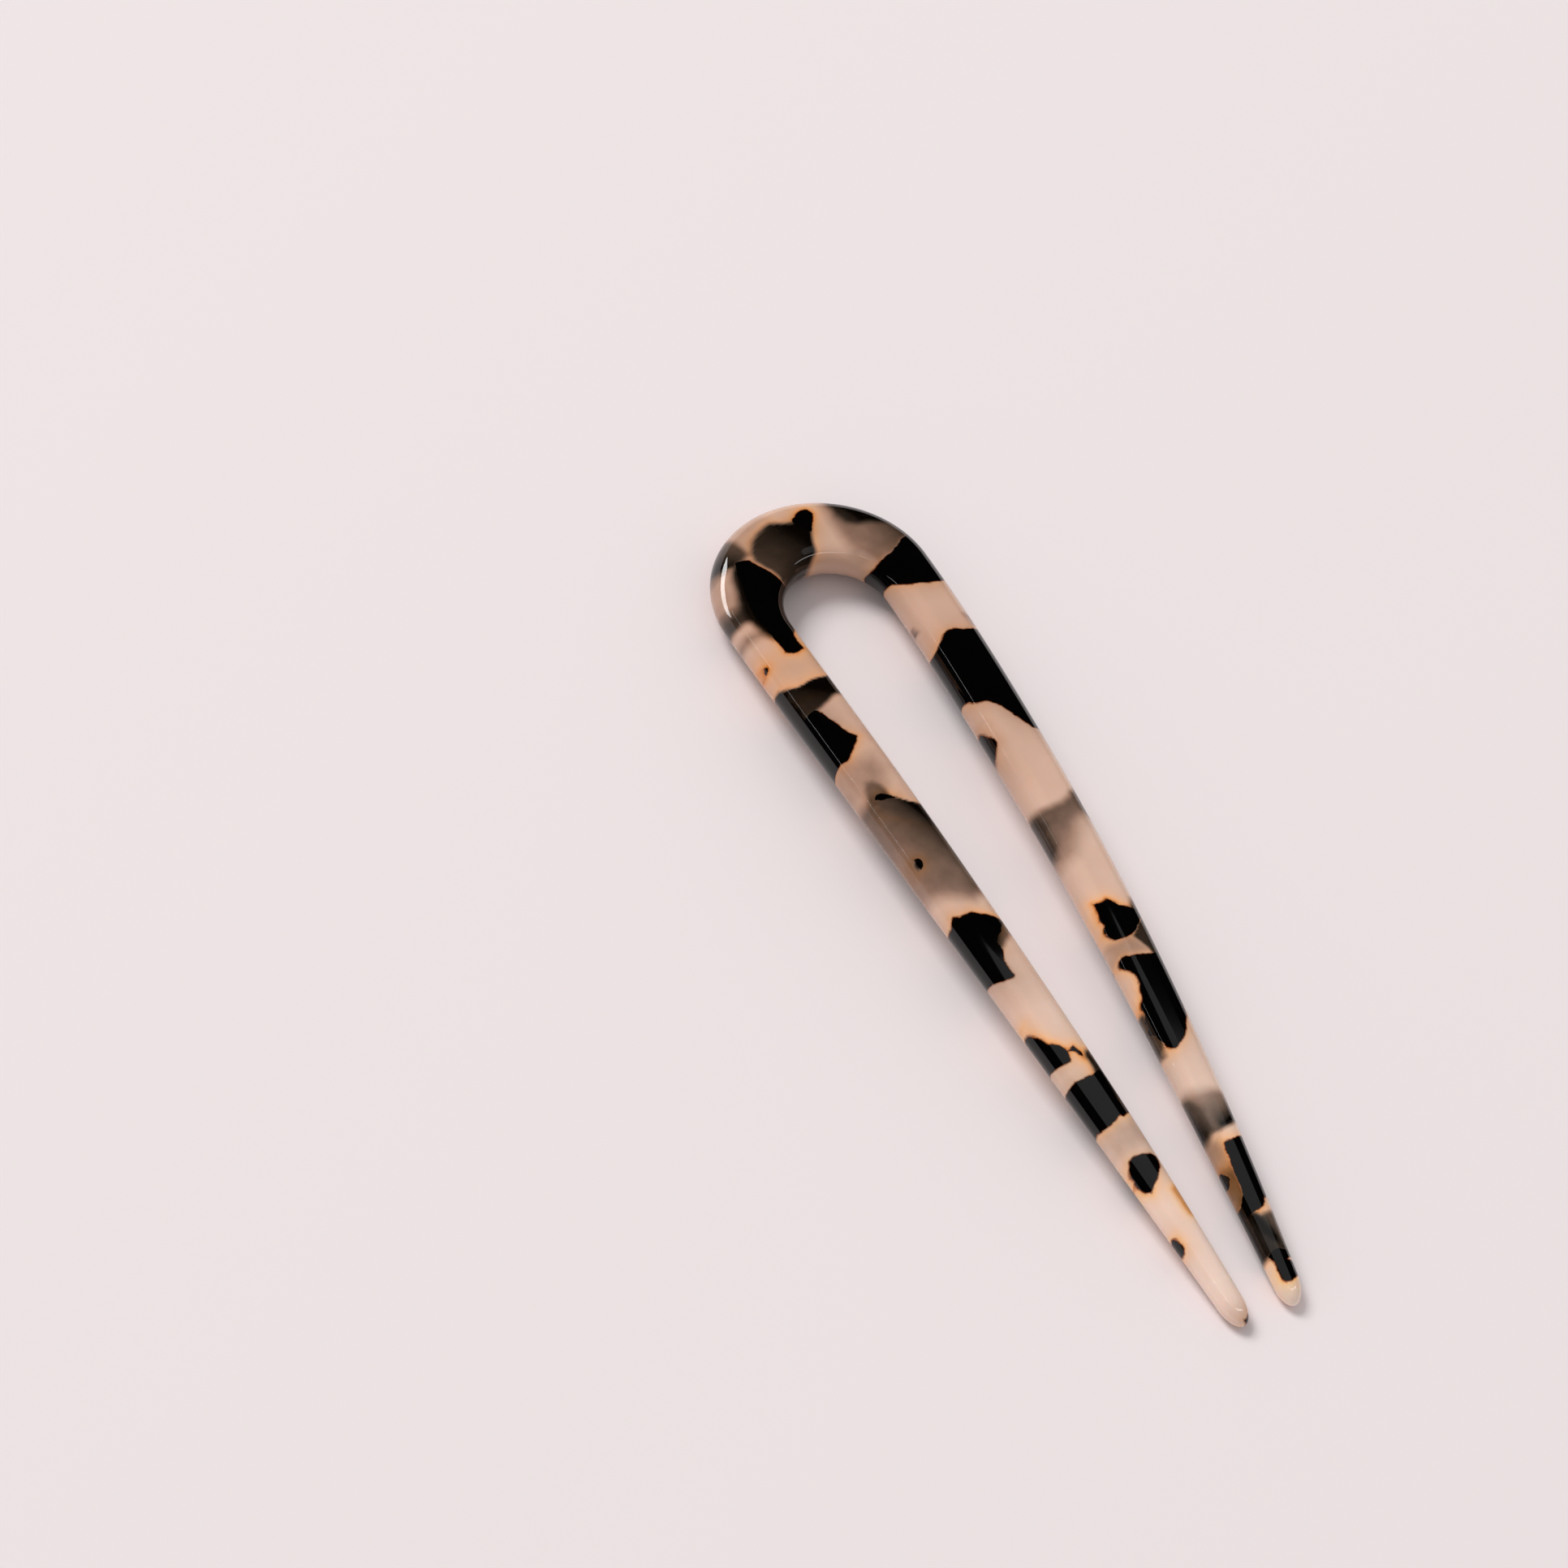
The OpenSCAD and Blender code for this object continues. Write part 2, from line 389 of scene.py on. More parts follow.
CLOUDS = {
    # bow, from the left round to the right
    "bow_veil": cloud([(-12.5, 119.5), (-11.0, 123.0), (-8.0, 125.0), (-3.0, 126.4), (-2.0, 124.6),
                       (-5.0, 123.0), (-7.0, 121.0), (-9.0, 119.5)], milk=2.0, soft=2.0),
    "left_cloud": cloud([(-14.4, 117.6), (-13.6, 119.8), (-12.2, 122.0), (-10.2, 124.2), (-8.5, 125.0),
                         (-7.9, 123.6), (-7.7, 121.8), (-7.4, 120.4), (-8.6, 119.6), (-11.0, 119.4),
                         (-12.6, 118.4)], milk=0.18, at=(-9.0, 121.5), dip=(0.07, 0.02), soft=0.6),
    "nub_body": cloud([(-5.0, 123.0), (-3.6, 123.6), (-2.3, 124.0), (-1.4, 123.7), (-0.5, 123.3),
                       (0.5, 123.1), (1.4, 123.5), (2.2, 123.6), (3.2, 123.4), (2.6, 121.4), (1.8, 119.9),
                       (1.3, 118.6), (1.0, 117.6), (0.2, 116.8), (-1.0, 115.8), (-3.0, 114.8),
                       (-5.0, 114.0), (-5.7, 115.8), (-6.6, 117.4), (-7.4, 119.2), (-7.2, 120.6),
                       (-6.2, 122.0)], milk=0.0, at=(0.0, 121.0), dip=(-0.02, -0.008), soft=0.6,
                      thick=THROUGH, glow=0.6),
    "rim_smoke": cloud([(-15.6, 114.6), (-14.0, 114.2), (-12.2, 114.0), (-12.0, 110.8), (-13.4, 110.8),
                        (-15.6, 110.9)], milk=0.12, soft=0.8, thick=THROUGH),
    "rim_veil": cloud([(-15.6, 109.4), (-13.6, 109.2), (-12.0, 109.0), (-12.2, 107.9), (-15.6, 107.9)],
                      milk=1.0, soft=0.5),
    "shoulder_haze": cloud([(-15.4, 118.4), (-13.2, 119.2), (-12.0, 118.6), (-12.2, 113.6),
                            (-15.6, 113.8)], milk=2.0, soft=0.6),
    "shoulder_edge": cloud([(-10.1, 120.1), (-11.2, 118.8), (-11.8, 117.3), (-12.2, 115.9),
                            (-12.7, 114.4), (-13.1, 112.8), (-13.2, 111.2), (-13.0, 109.9),
                            (-12.6, 108.6), (-12.1, 107.5), (-11.6, 106.8), (-10.2, 106.8), (-9.6, 112.0),
                            (-9.2, 119.0)], milk=0.01, soft=1.1),
    "right_veil": cloud([(5.4, 124.6), (5.0, 121.0), (5.0, 118.0), (5.4, 115.6), (6.4, 114.0),
                         (7.6, 112.6), (10.6, 113.2), (12.4, 114.6), (15.0, 116.0), (15.0, 119.0),
                         (12.0, 122.0), (9.0, 125.0)], milk=0.35, at=(11, 118), dip=(-0.14, -0.02),
                        soft=1.2),
    "right_smoke": cloud([(6.8, 126.0), (6.3, 124.0), (6.2, 121.6), (6.8, 120.0), (8.2, 119.3),
                          (10.0, 118.9), (11.6, 118.3), (13.2, 117.5), (15.0, 117.0), (15.0, 120.0),
                          (12.5, 123.0), (9.0, 126.0)], milk=0.0, at=(8.6, 121.0), dip=(-0.05, -0.02),
                         soft=1.0, thick=THROUGH),
    # left leg, from the bow down
    "amber": cloud([(-14.8, 106.0), (-12.6, 105.4), (-11.6, 104.2), (-8.6, 103.8), (-7.2, 104.6),
                    (-7.0, 101.6), (-9.0, 100.4), (-13.0, 100.2), (-15.2, 101.0)], milk=4.0, glow=0.14),
    "band_shade": cloud([(-14.6, 99.2), (-12.0, 98.8), (-8.0, 98.8), (-5.8, 99.6), (-5.8, 96.6),
                         (-7.2, 96.4), (-8.6, 96.4), (-9.8, 96.0), (-11.2, 95.4), (-12.4, 94.8),
                         (-14.6, 94.6)], milk=0.0, at=(-9.8, 97.6), dip=(-0.015, -0.02), soft=0.6,
                        thick=THROUGH),
    "band_edge": cloud([(-14.8, 100.2), (-13.8, 99.8), (-12.8, 99.3), (-11.8, 99.4), (-10.2, 99.65),
                        (-9.0, 99.6), (-7.8, 99.8), (-5.8, 100.3), (-5.8, 98.4), (-8.0, 98.0),
                        (-12.0, 97.6), (-14.8, 98.0)], milk=0.0, at=(-9.8, 97.6), dip=(-0.015, -0.02),
                       thick=THROUGH, glow=0.6),
    "band_wall": cloud([(-16, 100.4), (-14.6, 100.3), (-14.1, 99.4), (-13.9, 97.0), (-13.6, 94.4),
                        (-13.4, 93.0), (-16, 93.0)], milk=0.0, soft=0.2, thick=THROUGH),
    "leg_veil": cloud([(-15.0, 88.0), (-11.0, 86.8), (-9.0, 86.6), (-8.4, 84.0), (-10.0, 81.0),
                       (-13.0, 81.0), (-15.0, 82.0)], milk=1.6, soft=1.8),
    "grey_nub": cloud([(-12.7, 82.3), (-12.3, 83.2), (-11.4, 82.9), (-10.7, 82.2), (-10.3, 81.4),
                       (-10.2, 80.0), (-12.0, 79.4), (-13.2, 79.6), (-12.9, 81.4)], milk=0.42,
                      at=(-11.8, 82), dip=(0, 0.1), soft=0.1),
    "olive_plate": cloud([(-15.0, 81.4), (-12.6, 80.4), (-11.6, 79.6), (-10.2, 78.8), (-9.0, 77.8),
                          (-7.6, 77.0), (-4.6, 76.6), (-4.6, 68.0), (-6.0, 63.6), (-8.0, 62.6),
                          (-10.4, 64.0), (-12.6, 65.0), (-15.0, 66.0)], milk=0.0, at=(-8.6, 78),
                         dip=(-0.10, -0.045), soft=1.7, thick=THROUGH),
    "olive_edge": cloud([(-12.3, 80.5), (-11.8, 80.85), (-11.0, 80.8), (-10.3, 80.35), (-9.7, 79.7),
                         (-9.1, 79.1), (-8.3, 78.5), (-7.3, 78.1), (-6.0, 77.9), (-4.6, 77.9),
                         (-4.6, 74.4), (-7.4, 74.4), (-9.0, 75.4), (-10.6, 76.6), (-12.4, 78.0)],
                        milk=0.0, at=(-8.6, 78), dip=(-0.10, -0.045), thick=THROUGH, glow=0.35),
    "wall_spot": cloud([(-16, 81.6), (-14.4, 81.4), (-14.0, 80.4), (-14.3, 79.6), (-16, 79.0)], milk=0.05,
                       thick=5.0),
    "knee_wedge": cloud([(-6.4, 59.6), (-5.4, 59.0), (-5.0, 57.4), (-6.4, 56.5), (-7.8, 55.5),
                         (-8.8, 54.8), (-8.9, 56.6), (-7.6, 58.0)], milk=0.2, at=(-7, 57.6),
                        dip=(0.3, -0.2), soft=0.3),
    "curl_smoke": cloud([(-6.1, 38.2), (-5.6, 38.9), (-4.6, 39.4), (-3.6, 39.2), (-3.6, 35.2),
                         (-6.2, 35.2), (-5.9, 36.6)], milk=0.04, soft=0.5, glow=0.7),
    "calf_veil": cloud([(-9.6, 28.8), (-3.0, 29.4), (-3.0, 24.0), (-4.6, 24.6), (-8.8, 24.8)], milk=2.0,
                       soft=0.8),
    "stain": cloud([(-4.3, 18.3), (-3.6, 18.7), (-3.2, 18.2), (-3.2, 14.8), (-3.8, 15.0), (-4.1, 16.6)],
                   milk=1.4, soft=0.5, glow=1.0),
    # right leg, from the bow down
    "gap_speck": cloud([(5.6, 103.4), (7.0, 103.2), (7.1, 102.0), (5.6, 101.8)], milk=0.15),
    "rim_spot": cloud([(13.2, 101.4), (14.0, 101.6), (15.8, 101.0), (15.8, 99.0), (13.4, 99.4)],
                      milk=1.0),
    "cloud_veil": cloud([(4.8, 69.6), (12.8, 70.2), (12.8, 68.0), (10.4, 66.8), (8.8, 65.2), (7.6, 63.8),
                         (4.8, 63.2)], milk=1.2, at=(7, 67), dip=(0.15, 0), soft=1.6),
    "right_cloud": cloud([(4.4, 71.7), (6.0, 71.45), (8.0, 71.1), (9.8, 71.2), (11.4, 71.9), (13.4, 73.0),
                          (13.4, 68.8), (11.4, 68.6), (9.4, 68.2), (7.8, 67.0), (6.6, 65.6), (4.4, 65.0)],
                         milk=0.45, at=(8, 70), dip=(0.02, -0.08), soft=0.8),
    "cloud_left": cloud([(4.4, 71.6), (5.9, 71.2), (6.5, 70.4), (6.6, 69.0), (6.4, 67.0), (6.1, 65.6),
                         (5.8, 64.6), (4.4, 64.2)], milk=0.15, soft=0.7, thick=THROUGH),
    "cloud_right": cloud([(11.6, 72.0), (13.6, 72.8), (13.6, 67.4), (12.3, 68.2), (11.8, 69.8)],
                         milk=0.25, soft=0.9),
    "knee_veil": cloud([(4.6, 51.2), (8.8, 51.2), (9.6, 48.0), (4.6, 48.4)], milk=1.5),
    "knee_smoke": cloud([(8.4, 50.7), (9.0, 51.4), (10.0, 52.3), (13.2, 53.8), (13.2, 47.0), (9.6, 47.4),
                         (9.3, 48.4), (8.9, 49.5)], milk=0.08, soft=0.1, glow=0.1),
    "knee_cap": cloud([(9.9, 54.4), (10.9, 55.8), (12.8, 56.6), (12.8, 53.0), (11.0, 53.2)], milk=0.12,
                      at=(11, 54.4), dip=(0, 0.15), soft=0.4),
    "calf_wall": cloud([(3.0, 42.0), (4.6, 41.4), (5.1, 39.5), (5.0, 37.5), (4.7, 35.8), (4.3, 34.8),
                        (3.0, 34.6)], milk=0.1, soft=0.5, thick=THROUGH, glow=0.3),
    "shin_veil": cloud([(4.0, 29.2), (6.0, 28.6), (8.8, 27.8), (8.9, 23.8), (7.2, 23.3), (5.2, 23.0),
                        (4.0, 23.0)], milk=0.45, at=(5.2, 25.5), dip=(-0.08, 0.22), soft=0.5),
    "shin_smoke": cloud([(1.8, 29.4), (3.8, 29.0), (4.5, 28.0), (4.9, 26.0), (5.1, 24.2), (5.4, 23.3),
                         (4.2, 23.2), (3.6, 22.0), (1.8, 21.4)], milk=0.12, at=(3.8, 25),
                        dip=(0.25, 0.05), soft=0.5),
    "shin_amber": cloud([(1.4, 22.6), (4.8, 22.6), (4.8, 12.6), (1.4, 12.8)], milk=1.1, soft=0.6,
                        glow=0.35),
    "shin_brown": cloud([(2.4, 17.6), (3.4, 18.4), (4.6, 18.0), (4.6, 12.8), (2.4, 13.0)], milk=0.4,
                        soft=1.0, glow=0.5),
    "toe_dark": cloud([(1.6, 13.0), (2.6, 12.7), (4.2, 12.0), (4.6, 11.6), (5.6, 11.5), (8.0, 11.9),
                       (7.4, 5.8), (5.6, 5.8), (3.6, 6.0), (1.8, 6.0)], milk=0.08, at=(5, 9),
                      dip=(0.03, 0), soft=0.8, glow=0.3, thick=THROUGH),
    "toe_streak": cloud([(3.0, 12.2), (4.0, 12.0), (4.7, 10.0), (5.4, 8.2), (5.0, 7.2), (4.2, 8.0),
                         (3.4, 10.0)], milk=0.0, soft=0.6),
    "toe_light": cloud([(5.2, 11.2), (6.4, 11.2), (6.4, 8.4), (5.9, 7.2), (5.6, 8.6)], milk=0.25,
                       soft=0.7),
}
print(len(CLOUDS), "clouds charted")


# %% Flakes: plates that the polish cut open
def flake(corners, thick=THROUGH, lean=(0, 0), glow=0.2, side=(0, 0)):
    return plate(corners, 0.0, (0, 0), (0, 0), 0.0, thick, lean, glow, side, opens=True)


FLAKES = {
    # bow, from the left round to the right
    "left_shoulder": flake([(-9.8, 119.9), (-9.0, 119.95), (-7.8, 119.5), (-7.3, 118.4), (-6.7, 117.3),
                            (-6.2, 116.4), (-5.5, 115.2), (-4.6, 113.6), (-5.6, 107.9), (-8.1, 107.8),
                            (-8.7, 107.0), (-8.9, 105.6), (-8.7, 104.4), (-10.0, 104.1), (-11.4, 104.6),
                            (-11.5, 106.2), (-11.6, 107.4), (-11.7, 108.6), (-11.9, 110.2),
                            (-12.0, 111.4), (-11.8, 113.0), (-11.5, 114.2), (-11.1, 115.8),
                            (-10.7, 117.2), (-10.3, 118.8)], lean=(0.1, 0.1), glow=0.3,
                           side=(0.1, -0.55)),
    "nub": flake([(0.6, 123.1), (1.1, 123.6), (1.7, 124.1), (2.6, 124.35), (3.4, 124.2), (3.75, 123.2),
                  (3.2, 122.1), (2.5, 121.2), (1.9, 120.5), (1.2, 121.4), (0.8, 122.4)], glow=0.5,
                 side=(0.2, 0.2)),
    "fleck": flake([(-14.8, 103.8), (-14.5, 104.4), (-14.3, 104.1), (-14.45, 103.6), (-14.75, 103.3)],
                   thick=4.0, glow=0.95),
    "right_shoulder": flake([(5.2, 112.2), (6.0, 112.3), (7.0, 112.5), (7.8, 112.9), (8.6, 113.3),
                             (9.4, 113.4), (10.3, 113.9), (11.2, 114.4), (12.2, 115.0), (13.2, 115.5),
                             (14.4, 115.9), (15.6, 116.2), (15.6, 107.6), (13.8, 107.1), (12.6, 107.15),
                             (11.5, 107.3), (10.2, 107.8), (9.2, 108.1), (8.3, 108.6), (7.6, 109.3),
                             (6.9, 110.0), (5.2, 110.4)], lean=(0, 0.12), glow=0.35, side=(-0.1, -0.1)),
    # left leg, from the bow down
    "left_block": flake([(-16, 95.3), (-14.2, 95.3), (-13.0, 95.4), (-12.4, 95.2), (-11.9, 94.5),
                         (-11.5, 93.5), (-11.1, 92.5), (-10.7, 91.4), (-10.1, 90.4), (-9.4, 89.7),
                         (-10.0, 89.2), (-10.6, 88.6), (-11.3, 87.9), (-12.0, 87.2), (-12.7, 86.9),
                         (-13.5, 87.2), (-16, 87.6)], lean=(0.05, -0.35), glow=0.25, side=(0.15, -0.35)),
    "olive_tip": flake([(-12.3, 80.45), (-11.9, 80.85), (-11.2, 80.9), (-10.6, 80.6), (-10.1, 80.15),
                        (-9.5, 79.5), (-9.8, 79.4), (-10.4, 79.8), (-11.0, 80.0), (-11.8, 80.0)],
                       glow=0.2, side=(0.1, 0.2)),
    "small_fleck": flake([(-12.7, 70.2), (-12.1, 70.9), (-11.5, 70.8), (-11.3, 70.2), (-11.7, 69.5),
                          (-12.5, 69.3)], thick=0.5, glow=0.6),
    "left_knee": flake([(-13.4, 60.6), (-12.3, 60.9), (-11.8, 61.9), (-11.4, 61.6), (-11.0, 61.3),
                        (-9.4, 61.3), (-8.7, 60.9), (-7.6, 60.2), (-6.6, 59.6), (-5.9, 59.1),
                        (-6.6, 58.2), (-7.6, 57.2), (-8.5, 56.4), (-8.3, 55.0), (-8.6, 54.4),
                        (-8.9, 53.6), (-8.9, 52.4), (-8.65, 51.25), (-9.5, 51.15), (-10.4, 51.25),
                        (-11.4, 51.7), (-13.4, 52.4)], lean=(0.12, 0.02), glow=0.35, side=(0.25, 0.3)),
    "left_curl": flake([(-12.4, 45.6), (-10.9, 45.0), (-10.6, 44.2), (-10.0, 43.0), (-9.7, 42.2),
                        (-9.4, 41.5), (-8.9, 41.1), (-8.3, 40.6), (-7.9, 40.1), (-7.7, 39.6),
                        (-7.9, 39.0), (-8.1, 38.2), (-9.0, 38.2), (-12.4, 38.4)], lean=(-0.1, 0),
                       glow=0.5, side=(0.4, 0.3)),
    "curl_tail": flake([(-8.0, 39.8), (-7.5, 39.75), (-6.7, 40.1), (-6.3, 39.4), (-6.05, 38.6),
                        (-6.3, 37.9), (-6.65, 38.6), (-6.85, 39.3), (-7.4, 39.55)], thick=0.7, glow=0.7),
    "left_calf": flake([(-12, 35.0), (-10.1, 35.4), (-9.2, 35.65), (-8.0, 35.55), (-6.6, 35.6),
                        (-5.8, 35.9), (-3.4, 36.4), (-3.4, 29.8), (-4.8, 29.6), (-5.4, 29.2),
                        (-5.7, 29.5), (-6.2, 29.4), (-6.6, 29.0), (-7.6, 28.7), (-8.4, 28.6),
                        (-9.2, 28.9), (-12, 29.6)], glow=0.4, side=(0.1, -0.2)),
    "left_ankle": flake([(-7.7, 23.7), (-6.9, 24.0), (-5.6, 23.8), (-4.7, 23.65), (-4.15, 23.2),
                         (-4.0, 22.4), (-4.3, 21.8), (-4.9, 21.2), (-5.6, 20.3), (-6.2, 19.8),
                         (-6.8, 19.2), (-7.1, 18.9), (-7.6, 19.2), (-7.9, 20.0), (-8.25, 21.0),
                         (-8.4, 22.0), (-8.15, 23.0)], lean=(0.1, 0.1), glow=0.5, side=(-0.2, -0.2)),
    "left_toe": flake([(-8.6, 13.2), (-7.0, 12.95), (-6.75, 12.5), (-6.6, 11.8), (-6.7, 11.2),
                       (-6.9, 10.6), (-8.6, 10.8)], glow=0.5, side=(0.2, 0.1)),
    "left_end": flake([(-4.0, 0.5), (-3.4, 0.65), (-2.9, 1.0), (-2.7, 0.7), (-3.2, 0.3), (-3.8, 0.2)],
                      thick=3.0, glow=0.2),
    # right leg, from the bow down
    "right_thigh": flake([(5.2, 96.4), (6.9, 96.6), (7.0, 97.4), (7.6, 98.2), (8.4, 98.9), (9.2, 99.5),
                          (10.0, 99.75), (10.8, 99.6), (11.6, 99.2), (12.6, 98.9), (15.8, 98.7),
                          (15.8, 82.6), (12.9, 82.3), (12.3, 82.5), (11.6, 83.4), (11.1, 84.4),
                          (10.6, 85.6), (10.1, 86.6), (9.5, 87.4), (8.6, 88.1), (7.9, 88.5), (7.3, 88.9),
                          (6.8, 89.7), (6.4, 90.4), (5.2, 90.8)], lean=(-0.08, -0.05), glow=0.3,
                         side=(-0.2, 0.15)),
    "thigh_speck": flake([(4.0, 86.6), (5.9, 85.5), (6.4, 84.7), (6.75, 83.4), (6.95, 82.5), (6.5, 81.8),
                          (6.1, 81.1), (5.8, 80.5), (5.4, 80.1), (4.0, 80.0)], lean=(0.18, -0.1),
                         glow=0.3),
    "right_knee": flake([(5.9, 54.6), (6.0, 55.6), (6.05, 56.75), (6.6, 56.5), (7.2, 56.4), (7.9, 56.65),
                         (8.2, 56.3), (8.6, 55.7), (8.9, 55.2), (9.6, 54.8), (10.3, 54.4), (11.0, 54.0),
                         (13.4, 53.8), (13.4, 53.4), (10.6, 52.6), (10.0, 52.0), (9.2, 51.5), (8.4, 51.0),
                         (7.6, 50.8), (6.9, 50.85), (6.2, 51.0), (5.8, 51.5), (5.5, 52.3), (5.5, 53.0),
                         (5.8, 53.6)], glow=0.7, side=(-0.1, 0.25)),
    "right_calf": flake([(5.0, 47.9), (5.2, 48.4), (5.6, 48.7), (6.2, 48.6), (6.6, 48.35), (7.6, 48.2),
                         (8.4, 47.95), (9.2, 47.7), (13.0, 47.7), (12.4, 41.4), (10.2, 40.6), (9.9, 39.6),
                         (9.4, 38.7), (8.8, 37.8), (8.2, 36.9), (7.6, 36.1), (6.8, 35.5), (6.1, 35.2),
                         (5.6, 34.9), (5.1, 35.2), (4.7, 36.0), (4.45, 37.0), (4.35, 38.5), (4.35, 40.0),
                         (4.6, 41.2), (5.0, 42.6), (5.4, 43.8), (5.75, 44.6), (5.9, 45.3), (5.8, 45.9),
                         (5.5, 46.6), (5.1, 47.2)], glow=0.5, side=(-0.3, 0)),
    "right_shin": flake([(4.9, 21.4), (5.6, 21.6), (6.6, 21.6), (9.6, 21.8), (9.4, 14.0), (6.9, 13.7),
                         (6.2, 13.3), (5.9, 12.8), (5.5, 12.3), (4.8, 12.1), (4.2, 12.1), (3.4, 11.8),
                         (2.4, 11.9), (1.4, 12.2), (1.4, 13.0), (2.9, 13.3), (3.2, 13.7), (3.5, 14.2),
                         (3.9, 14.8), (4.1, 15.6), (4.2, 16.6), (4.15, 17.4), (4.3, 18.4), (4.5, 19.4),
                         (4.6, 20.6)], glow=0.6, side=(-0.35, 0.1)),
    "gap_dot": flake([(2.2, 18.4), (3.1, 18.4), (3.35, 17.6), (3.4, 17.1), (3.2, 16.4), (2.9, 15.9),
                      (2.2, 16.0)], glow=0.5),
    "right_toe": flake([(3.0, 6.4), (4.0, 6.8), (5.2, 6.4), (6.8, 6.2), (6.6, 5.6), (5.6, 5.4),
                        (5.0, 5.0), (5.6, 4.8), (6.4, 4.6), (6.2, 3.3), (5.2, 2.9), (4.6, 2.65),
                        (4.0, 2.45), (3.4, 2.45), (3.1, 3.0), (3.0, 3.8), (3.1, 4.6), (3.2, 5.4)],
                       glow=0.5, side=(-0.1, -0.3)),
}
print(len(FLAKES), "flakes charted")


# %% [markdown]
# ## From the chart to the mesh
#
# Each point of the mesh is asked which plates it lies over. Milk hides what lies behind it: two
# millimetres leave a third of the dark, and the deeper a plate lies, the softer its edge looks. The
# answers are kept on the mesh as five attributes that the material reads: the distance to the nearest
# flake that is open there, how fully it is open, how thick it is, the smoke of all that lies deeper
# together with a painted shade round open flakes, and the painted glow of thin edges.

# %% Distance to a polygon
def distance_to(corners, points):
    """Distance in the plane from each point to a polygon, less than nothing inside."""
    nearest = np.full(len(points), 1e9)
    inside = np.zeros(len(points), bool)
    for a, b in zip(corners, np.roll(corners, -1, axis=0)):
        side = b - a
        offset = points - a
        share = np.clip(offset @ side / (side @ side), 0, 1)
        nearest = np.minimum(nearest, np.linalg.norm(offset - share[:, None] * side, axis=1))
        crosses = (points[:, 1] < a[1]) != (points[:, 1] < b[1])
        rise = np.where(b[1] == a[1], 1, b[1] - a[1])
        inside ^= crosses & (offset[:, 0] < side[0] * offset[:, 1] / rise)
    return np.where(inside, -nearest, nearest)


SQUARE = np.array([(0, 0), (2, 0), (2, 2), (0, 2)])
print("from the middle of a 2 mm square to its outline:", distance_to(SQUARE, np.array([(1, 1)]))[0])

# %% Depth, lean and milk
SAMPLED_PLACES = np.linspace(0, 1, 101)
SAMPLED_SHEET = [growth(place, SHEET_GROWTH) for place in SAMPLED_PLACES]
NEARBY = 4.5


def depth_of(points):
    """How deep each point lies under the upper face."""
    y = points[:, 1]
    thickness = mix(TIP_SHEET, SHEET, np.interp(y / WIDEST_Y, SAMPLED_PLACES, SAMPLED_SHEET))
    return thickness - (points[:, 2] - arch(y))


def outline_distance(piece, points, depth):
    """Distance to an outline that leans with the depth, and sways so that it never runs straight."""
    x, y = points[:, 0], points[:, 1]
    sway = 0.04 + 0.05 * np.clip(depth, 0, 3)
    sway_x = sway * (np.sin(1.9 * y + 0.7 * x + 0.4) + 0.5 * np.sin(4.1 * y - 1.3 * x))
    sway_y = sway * (np.sin(1.7 * x - 0.8 * y + 2.1) + 0.5 * np.sin(3.7 * x + 1.9 * y + 1.0))
    lean_x, lean_y = piece["lean"]
    moved = np.stack([x + sway_x - depth * lean_x, y + sway_y - depth * lean_y], axis=1)
    return distance_to(piece["corners"], moved)


def milk_over(piece, points, depth):
    """Millimetres of milk between the face and the flake."""
    over = piece["milk"] + (points[:, :2] - piece["at"]) @ piece["dip"]
    return np.maximum(np.maximum(over, depth - piece["thick"]), 0)


def near_to(piece, points):
    """Numbers of the points that are close enough for the plate to matter."""
    close = points[:, :2] > piece["corners"].min(axis=0) - NEARBY
    close &= points[:, :2] < piece["corners"].max(axis=0) + NEARBY
    return np.nonzero(close.all(axis=1))[0]


print("sheet at the widest place:", round(mix(TIP_SHEET, SHEET, SAMPLED_SHEET[-1]), 2), "mm")

# %% How dark and glow fade
# Millimetres of milk that leave a third of the dark, and that close a flake which the polish cut open
MILK_DEPTH = 2
CLOSING_MILK = 0.1
# Millimetres that a cut edge takes to fade, and how many more for each millimetre of milk
EDGE_BLUR = 0.3
MILK_BLUR = 1.2
# How far the painted glow and the painted shade of a plate reach past its edge, and how dark that shade is
GLOW_REACH = 0.6
SHADE_REACH = 2
SHADE = 0.35


def softened(share):
    share = np.clip(share, 0, 1)
    return share * share * (3 - 2 * share)


def glow_of(piece, points):
    """How strong the painted glow of light through the plate's edge is, on the side where each point lies.
    """
    outward = points[:, :2] - np.mean(piece["corners"], axis=0)
    outward /= np.maximum(np.linalg.norm(outward, axis=1), 0.01)[:, None]
    return np.clip(piece["glow"] + outward @ piece["side"], 0, 1)


print("dark left under 1 mm of milk:", round(math.exp(-1 / MILK_DEPTH), 2))


# %% The five attributes
FAR = 5.0


